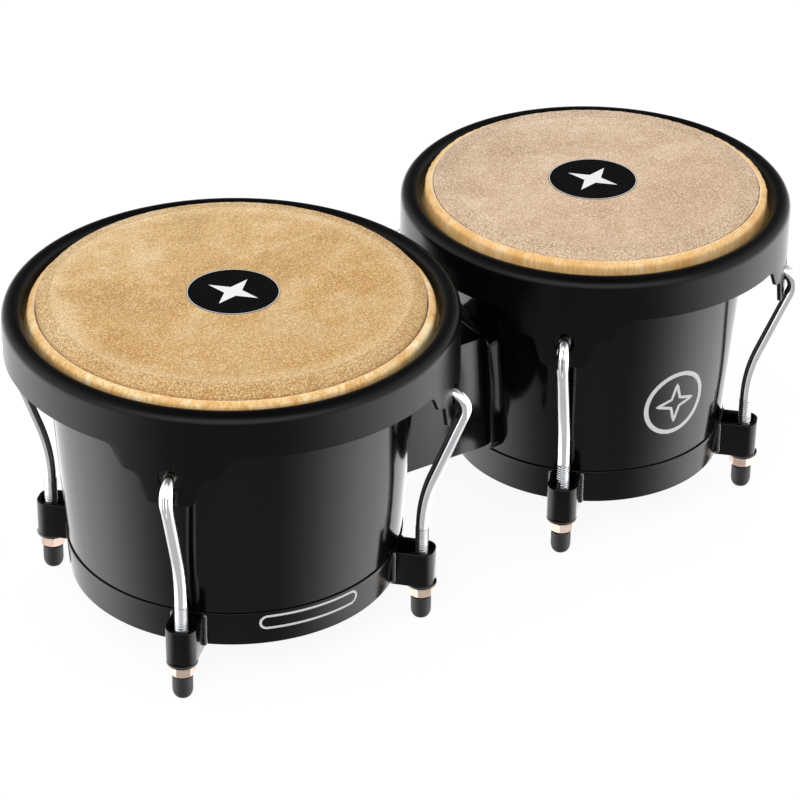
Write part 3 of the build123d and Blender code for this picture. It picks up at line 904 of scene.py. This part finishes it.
def make_lug(drum, index):
    """Chrome lug: screw thread, bent shank and a hook squeezed where it is bent."""
    angle = drum.lug_angles[index]
    x, y = drum.lugs[index]
    out, along, lift = directions(angle)
    foot = np.array([x, y, 0])
    route = np.array(lug_route(drum))
    fine = [route[0]]
    for a, b in zip(route, route[1:]):
        parts = max(1, int(np.linalg.norm(b - a) / 3.0))
        fine += [a + (b - a) * i / parts for i in range(1, parts + 1)]
    fine = np.array(fine)
    lengths = np.concatenate([[0], np.cumsum(np.linalg.norm(np.diff(fine, axis=0), axis=1))])
    pinch = lengths[-1] - 18.0
    around = 56
    shape = Shape()
    rows = []
    for i, (o, z) in enumerate(fine):
        ahead = fine[min(i + 1, len(fine) - 1)] - fine[max(i - 1, 0)]
        ahead /= np.linalg.norm(ahead)
        normal = out * ahead[1] - lift * ahead[0]
        place = foot + out * o + lift * z
        s = lengths[i]
        squeeze = math.exp(-(((s - pinch) / 6.5) ** 4))
        thin = 1.0
        if s > lengths[-1] - 1.0:
            thin = math.sqrt(max(0.0, 1 - (s - lengths[-1] + 1.0) ** 2)) * 0.3 + 0.7
        row = []
        for j in range(around):
            turn = 2 * pi * j / around
            off = (turn + pi) % (2 * pi) - pi
            crease = 0.4 * squeeze * math.exp(-((off / 0.2) ** 2))
            reach = SHANK_RADIUS * thin * (1 - crease + 0.06 * squeeze * sin(turn) ** 2)
            row.append(place + normal * reach * cos(turn) + along * reach * sin(turn))
        rows.append(row)
    shape.grid(rows, wrap_columns=True)
    for row, order in ((rows[0], 1), (rows[-1], -1)):
        shape.add(row, [tuple(range(around))[::order]])
    thread(shape, x, y, LUG_FOOT, THREAD_TOP)
    neck = [(0.01, THREAD_TOP - 1.9), (SHANK_RADIUS - 0.35, THREAD_TOP - 1.6)]
    neck += [(SHANK_RADIUS, THREAD_TOP - 0.6), (SHANK_RADIUS, THREAD_TOP)]
    shape.lathe(neck, x, y, around, closed=False)
    name = f"{drum.name}_hooked_lug_{index + 1}"
    return piece(
        shape, name, CHROME, drum.tuning, [f"{drum.name}_tuning_lug_{index + 1}"], 50
    )


def make_nut(drum, index, turn):
    """Hexagon nut, chamfered both ends, with a countersunk bore."""
    low, high = drum.box(f"nut_{index + 1}")
    x, y = drum.lugs[index]
    base, top = low[2], high[2]
    flat, bore, circle = NUT_ACROSS_FLATS / 2, THREAD_RADIUS + 0.05, 5.3
    around = 96
    rows = [[] for _ in range(8)]
    for j in range(around):
        angle = 2 * pi * j / around
        within = (angle + pi / 6) % (pi / 3) - pi / 6
        reach = flat / cos(within)
        drop = max(0.0, reach - circle) * tan(radians(30)) + 0.12
        angle += radians(turn)
        for row, (r, z) in zip(
            rows,
            (
                (bore, base + 0.5), (bore + 0.45, base), (circle, base), (reach, base + drop),
                (reach, top - drop), (circle, top), (bore + 0.45, top), (bore, top - 0.5),
            ),
        ):
            row.append((x + r * cos(angle), y + r * sin(angle), z))
    shape = Shape()
    shape.grid(rows, wrap_rows=True, wrap_columns=True)
    body = f"{drum.name}_tuning_nut_{index + 1}"
    return piece(
        shape, f"{drum.name}_hex_nut_{index + 1}", NUT, body, [f"{drum.name}_nut_{index + 1}"], 20
    )


def make_tip(drum, index):
    """Domed rubber tip on the lug's foot, with a worn flat under it."""
    low, high = drum.box(f"rubber_tip_{index + 1}")
    x, y = drum.lugs[index]
    radius, top, flat, dome = (high[0] - low[0]) / 2, high[2], 2.0, 4.6
    profile = [(0.01, 0.0), (flat, 0.0)]
    profile += arc(flat, dome, radius - flat, 282, 360, 10, dome)
    profile += [(radius, top - 0.5)] + arc(radius - 0.5, top - 0.5, 0.5, 20, 90, 4)
    profile += [(THREAD_RADIUS + 0.02, top), (THREAD_RADIUS + 0.02, top - 3.0)]
    shape = Shape()
    shape.lathe(profile, x, y, 48, closed=False)
    name = f"{drum.name}_domed_tip_{index + 1}"
    return piece(shape, name, RUBBER, drum.tuning, [f"{drum.name}_rubber_tip_{index + 1}"], 60)


def make_lug_washers(drum):
    """Stepped washers under the straps."""
    low = drum.box("lug_washers")[0][2]
    bore, radius, boss = THREAD_RADIUS + 0.35, 7.3, 4.3
    shape = Shape()
    for x, y in drum.lugs:
        profile = [(bore, low), (radius - 0.4, low)] + arc(radius - 0.4, low + 0.4, 0.4, 290, 360, 3)
        profile += arc(radius - 0.4, low + 1.0, 0.4, 0, 90, 4)
        profile += [(boss, low + 1.4), (boss, low + 2.7), (boss - 0.2, low + 2.9), (bore, low + 2.9)]
        shape.lathe(profile, x, y, 64)
    name = f"{drum.name}_stepped_washers"
    return piece(shape, name, OXIDE, "drums", [f"{drum.name}_lug_washers"])


def star(points, outer, inner, turn=0.0):
    """Outline of a plain star."""
    line = []
    for i in range(2 * points):
        reach = outer if i % 2 == 0 else inner
        angle = turn + pi * i / points
        line.append((reach * cos(angle), reach * sin(angle)))
    return line


def make_sticker(drum, turn):
    """Round sticker with a plain pale star and line round it."""
    low, high = drum.box("head_sticker")
    x, y = (low[0] + high[0]) / 2, (low[1] + high[1]) / 2
    radius, base, top = (high[0] - low[0]) / 2, drum.head - 0.1, high[2] - 0.03
    disc = Shape()
    edge = [(radius, base), (radius, top - 0.05), (radius - 0.06, top)]
    disc.lathe([(0.01, base), *edge, (0.01, top)], x, y, 128)
    name = f"{drum.name}_round_sticker"
    sticker = piece(disc, name, INK_BLACK, "drums", [f"{drum.name}_head_sticker"])
    mark = Shape()
    mark.prism([(x + a, y + b) for a, b in star(4, 13.0, 4.2, turn)], top - 0.02, top + 0.02)
    near, far, low, high = radius - 0.6, radius - 0.25, top - 0.02, top + 0.02
    mark.lathe([(near, low), (far, low), (far, high), (near, high)], x, y, 128)
    piece(mark, f"{drum.name}_sticker_print", INK_PALE, "drums")
    return sticker


def between(a, b, parts):
    """Points from one to just before another, in equal steps."""
    return [(a[0] + (b[0] - a[0]) * i / parts, a[1] + (b[1] - a[1]) * i / parts) for i in range(parts)]


def ribbon_on_wall(shape, drum, line, width, radius_at, angle, height, thickness=0.12):
    """A flat stroke of a closed line laid on the drum's wall: (along, up) points."""
    n = len(line)
    inner, outer = [], []
    for i in range(n):
        a, p, b = (np.array(line[(i + k) % n]) for k in (-1, 0, 1))
        ahead = (b - a) / np.linalg.norm(b - a)
        side = np.array([ahead[1], -ahead[0]])
        inner.append(p - side * width / 2)
        outer.append(p + side * width / 2)
    rows = []
    for plan, lift in ((inner, -0.1), (inner, thickness), (outer, thickness), (outer, -0.1)):
        row = []
        for s, v in plan:
            r = radius_at(height + v) + lift
            row.append(drum.at(r, angle + s / r, height + v))
        rows.append(row)
    shape.grid(rows, wrap_rows=True, wrap_columns=True)


def make_ring_label(drum):
    """Plain outlined lozenge printed on the large drum's foot ring."""
    top = RING_BASE + RING_HEIGHT
    face = drum.outside(top) + RING_PROUD
    half, high = 25.0, 3.3
    line = arc(half - high, 0, high, -90, 90, 16) + arc(-half + high, 0, high, 90, 270, 16)
    long = []
    for a, b in zip(line, line[1:] + line[:1]):
        parts = max(1, int(hypot(b[0] - a[0], b[1] - a[1]) / 2.0))
        long += between(a, b, parts)
    shape = Shape()

    def wall(z):
        return face - drum.slope * (top - z)

    ribbon_on_wall(shape, drum, long, 1.15, wall, LABEL_ANGLE, top - LABEL_DROP)
    return piece(shape, f"{drum.name}_ring_label", INK_PALE, "drums")


def make_shell_badge(drum):
    """Plain ring and star printed on the small drum's shell."""
    shape = Shape()
    circle = arc(0, 0, BADGE_RADIUS, 0, 360 * 95 / 96, 95)
    ribbon_on_wall(shape, drum, circle, 2.3, drum.outside, BADGE_ANGLE, BADGE_HEIGHT)
    outline = star(4, 10.5, 3.4, pi / 2)
    ribbon = []
    for a, b in zip(outline, outline[1:] + outline[:1]):
        ribbon += between(a, b, 6)
    ribbon_on_wall(shape, drum, ribbon, 1.5, drum.outside, BADGE_ANGLE, BADGE_HEIGHT)
    return piece(shape, f"{drum.name}_shell_badge", INK_PALE, "drums")


def make_block(large, small):
    """Centre block with eased edges, its ends leaning with the shells."""
    low, high = (np.array(v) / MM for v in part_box("centre_block"))
    half = high[1]
    ends = []
    for z in (low[2], high[2]):
        for drum in (large, small):
            reach = drum.outside(z) + BOSS_THICKNESS / cos(math.atan(drum.slope))
            ends.append((drum.x + drum.facing * reach, z))
    (a, b, c, d) = ends
    corners = [a, b, d, c]
    points = [(x, y, z) for y in (-half, half) for x, z in corners]
    faces = [(0, 1, 2, 3), (7, 6, 5, 4)] + [(i, 4 + i, 4 + (i + 1) % 4, (i + 1) % 4) for i in range(4)]
    shape = Shape()
    shape.add(points, faces)
    block = piece(shape, "block_body", BLOCK, "drums", ["centre_block"])
    round_edges(block, 0.9, 4, 40)
    return block


def dress(node, material):
    """Gives a CAD node that stays in view its finish."""
    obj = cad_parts[node]
    obj.data.materials.clear()
    obj.data.materials.append(material)


block_middle = sum(v[2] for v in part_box("centre_block")) / 2 / MM
large = Drum("large", 1)
small = Drum("small", -1)
nut_turns = {"large": (12, 34, 3, 11), "small": (25, 8, 17, 40)}

# Each head: skin's crown and collars, lip's fall, waviness and lift, then their looks
# In each skin's look the second colour is the front tone of a painted front-to-back sheen, and the last
# number is the strength of a painted highlight ring; the pale colour serves real pale marks and these
# painted lights both
HEADS = (
    (
        large, (6.0, 4.4, 0.7), (2.4, 0.8, 0.0),
        (LARGE_TONES, (0.52, 0.26, 0.05), (0.33, 0.18, 0.06), (0.88, 0.68, 0.42), 0.9, 0.4),
        ((0.68, 0.36, 0.11), (0.86, 0.57, 0.25), (0.97, 0.8, 0.52)),
    ),
    (
        small, (9.0, 1.8, 0.9), (2.2, 1.9, -0.4),
        (SMALL_TONES, (0.62, 0.42, 0.26), (0.36, 0.24, 0.13), (0.9, 0.74, 0.58), -0.75, 0.12),
        ((0.74, 0.4, 0.13), (0.84, 0.52, 0.21), (0.93, 0.68, 0.38)),
    ),
)
for drum, head, lip, skin_look, lip_look in HEADS:
    centre = drum.x * MM
    flat = (drum.skin_edge - head[0]) * MM
    inside = (drum.top_radius + LIP_INSIDE + 0.7) * MM
    # Height below which the lip's colour gets painted shade
    wrapped = (drum.hoop_high + SKIN) * MM
    skin = rawhide(f"{drum.name}_rawhide", centre, flat, *skin_look)
    hide = rawhide_lip(f"{drum.name}_rawhide_lip", centre, inside, wrapped, *lip_look)
    make_shell(drum)
    make_head(drum, skin, *head)
    make_lip(drum, hide, *lip)
    make_rim(drum)
    make_bottom_ring(drum)
    make_lug_washers(drum)
    make_sticker(drum, 0.5)
    for i in range(4):
        make_lug(drum, i)
        make_nut(drum, i, nut_turns[drum.name][i])
        make_tip(drum, i)
    dress(f"{drum.name}_flesh_hoop", HOOP)
    dress(f"{drum.name}_block_bolts", ZINC)
    dress(f"{drum.name}_bolt_washers", ZINC)
    dress(f"{drum.name}_block_inserts", BRASS)
make_block(large, small)
make_ring_label(large)
make_shell_badge(small)


# Camera, floor and light

CAMERA_TURN, CAMERA_RISE, CAMERA_ROLL = radians(-34.22), radians(30.51), radians(0.75)
CAMERA_DISTANCE = 1.7262
CAMERA_AIM = Vector((-0.02833, -0.03562, 0.1))
LENS = 167.2


def make_camera():
    level = cos(CAMERA_RISE)
    back = Vector((sin(CAMERA_TURN) * level, -cos(CAMERA_TURN) * level, sin(CAMERA_RISE)))
    right = Vector((cos(CAMERA_TURN), sin(CAMERA_TURN), 0))
    up = back.cross(right)
    across = right * cos(CAMERA_ROLL) + up * sin(CAMERA_ROLL)
    upright = up * cos(CAMERA_ROLL) - right * sin(CAMERA_ROLL)
    data = bpy.data.cameras.new("camera")
    data.lens = LENS
    data.sensor_width = 36.0
    data.clip_start = 0.05
    data.clip_end = 50.0
    camera = link_object("camera", data)
    place = Matrix((across, upright, back)).transposed().to_4x4()
    place.translation = CAMERA_AIM + back * CAMERA_DISTANCE
    camera.matrix_world = place
    bpy.context.scene.camera = camera


def make_floor():
    """Plain pale floor that keeps only a trace of shadow."""
    n = Nodes("floor_pale")
    n.set(Roughness=0.9, Specular_IOR_Level=0.0, Emission_Strength=0.93)
    cloud = n.noise(0.7, 2)
    n.link(n.ramp(cloud, (0.0, 0.985), (1.0, 1.0)), n.shader.inputs["Emission Color"])
    n.link(n.ramp(cloud, (0.0, 0.095), (1.0, 0.1)), n.shader.inputs["Base Color"])
    mesh = bpy.data.meshes.new("floor")
    size = 12.0
    corners = [(-size, -size, 0), (size, -size, 0), (size, size, 0), (-size, size, 0)]
    mesh.from_pydata(corners, [], [(0, 1, 2, 3)])
    mesh.materials.append(n.material)
    floor = link_object("floor", mesh)
    floor.location.z = -0.0002
    floor.visible_glossy = False
    floor.visible_diffuse = False


class World:
    """The studio around the object, as greys that depend on the direction."""

    def __init__(self):
        world = bpy.data.worlds.new("studio")
        bpy.context.scene.world = world
        world.cycles.sampling_method = "NONE"
        world.use_nodes = True
        self.tree = world.node_tree
        self.tree.nodes.clear()
        self.direction = self.tree.nodes.new("ShaderNodeTexCoord").outputs["Generated"]

    def along(self, x, y, z):
        """How far the direction points along an axis, from -1 to 1."""
        node = self.tree.nodes.new("ShaderNodeVectorMath")
        node.operation = "DOT_PRODUCT"
        node.inputs[1].default_value = (x, y, z)
        self.tree.links.new(self.direction, node.inputs[0])
        return node.outputs["Value"]

    def math(self, operation, *values, clamp=False):
        node = self.tree.nodes.new("ShaderNodeMath")
        node.operation = operation
        node.use_clamp = clamp
        for socket, value in zip(node.inputs, values):
            feed(self.tree, socket, value)
        return node.outputs[0]

    def curve(self, source, *stops):
        """A value that runs straight between (position, value) stops."""
        top = max(value for _, value in stops)
        node = self.tree.nodes.new("ShaderNodeValToRGB")
        put_stops(node, [(position, (value / top,) * 3) for position, value in stops])
        self.tree.links.new(source, node.inputs["Fac"])
        return self.math("MULTIPLY", node.outputs["Color"], top)

    def blend(self, factor, first, second):
        rest = self.math("SUBTRACT", 1.0, factor)
        return self.math("ADD", self.math("MULTIPLY", rest, first), self.math("MULTIPLY", factor, second))


def make_surroundings():
    """Soft studio: brightest at the sides, a band above the front, white to the camera."""
    w = World()
    aside = w.math("ABSOLUTE", w.along(cos(CAMERA_TURN), sin(CAMERA_TURN), 0))
    ahead = w.along(sin(CAMERA_TURN), -cos(CAMERA_TURN), 0)
    height = w.along(0, 0, 1)
    sides = w.curve(
        aside, (0.0, 0.66), (0.4, 0.58), (0.55, 1.0), (0.66, 1.75),
        (0.76, 3.0), (0.83, 4.2), (0.88, 4.9), (1.0, 5.0),
    )
    behind = w.math("MULTIPLY", w.math("SUBTRACT", w.math("MULTIPLY", ahead, -1.0), 0.3, clamp=True), 2.6)
    below = w.math("ADD", sides, behind)
    dome = w.curve(aside, (0.0, 0.12), (0.4, 0.3), (0.7, 1.1), (0.9, 2.0), (1.0, 2.4))
    band = w.math("MULTIPLY", w.math("SUBTRACT", ahead, 0.3, clamp=True), 8.0)
    tilt = w.math("ABSOLUTE", w.math("SUBTRACT", height, 0.5))
    level = w.math("SUBTRACT", 1.0, w.math("MULTIPLY", tilt, 1.7), clamp=True)
    above = w.math("ADD", dome, w.math("MULTIPLY", band, level))
    rise = w.math("ADD", w.math("MULTIPLY", height, 3.0), 1.0, clamp=True)
    mirrored = w.blend(rise, below, above)
    climb = w.math("ADD", w.math("MULTIPLY", height, 0.5), 0.5)
    soft = w.curve(climb, (0.0, 0.25), (0.45, 0.4), (0.6, 0.85), (1.0, 1.05))
    path = w.tree.nodes.new("ShaderNodeLightPath")
    light = w.blend(path.outputs["Is Glossy Ray"], soft, mirrored)
    seen = w.blend(path.outputs["Is Camera Ray"], light, 1.0)
    background = w.tree.nodes.new("ShaderNodeBackground")
    w.tree.links.new(seen, background.inputs["Color"])
    output = w.tree.nodes.new("ShaderNodeOutputWorld")
    w.tree.links.new(background.outputs["Background"], output.inputs["Surface"])


def make_light(name, place, aim, size, power, spread=180):
    data = bpy.data.lights.new(name, "AREA")
    data.shape = "RECTANGLE"
    data.size, data.size_y = size
    data.energy = power
    data.spread = radians(spread)
    light = link_object(name, data)
    light.location = place
    light.rotation_euler = (Vector(aim) - Vector(place)).to_track_quat("-Z", "Y").to_euler()
    light.visible_glossy = False


make_camera()
make_floor()
make_surroundings()
make_light("key", (-1.2, -1.0, 1.5), (0, 0, 0.1), (0.7, 0.7), 12)
bpy.context.scene.view_settings.view_transform = "Standard"
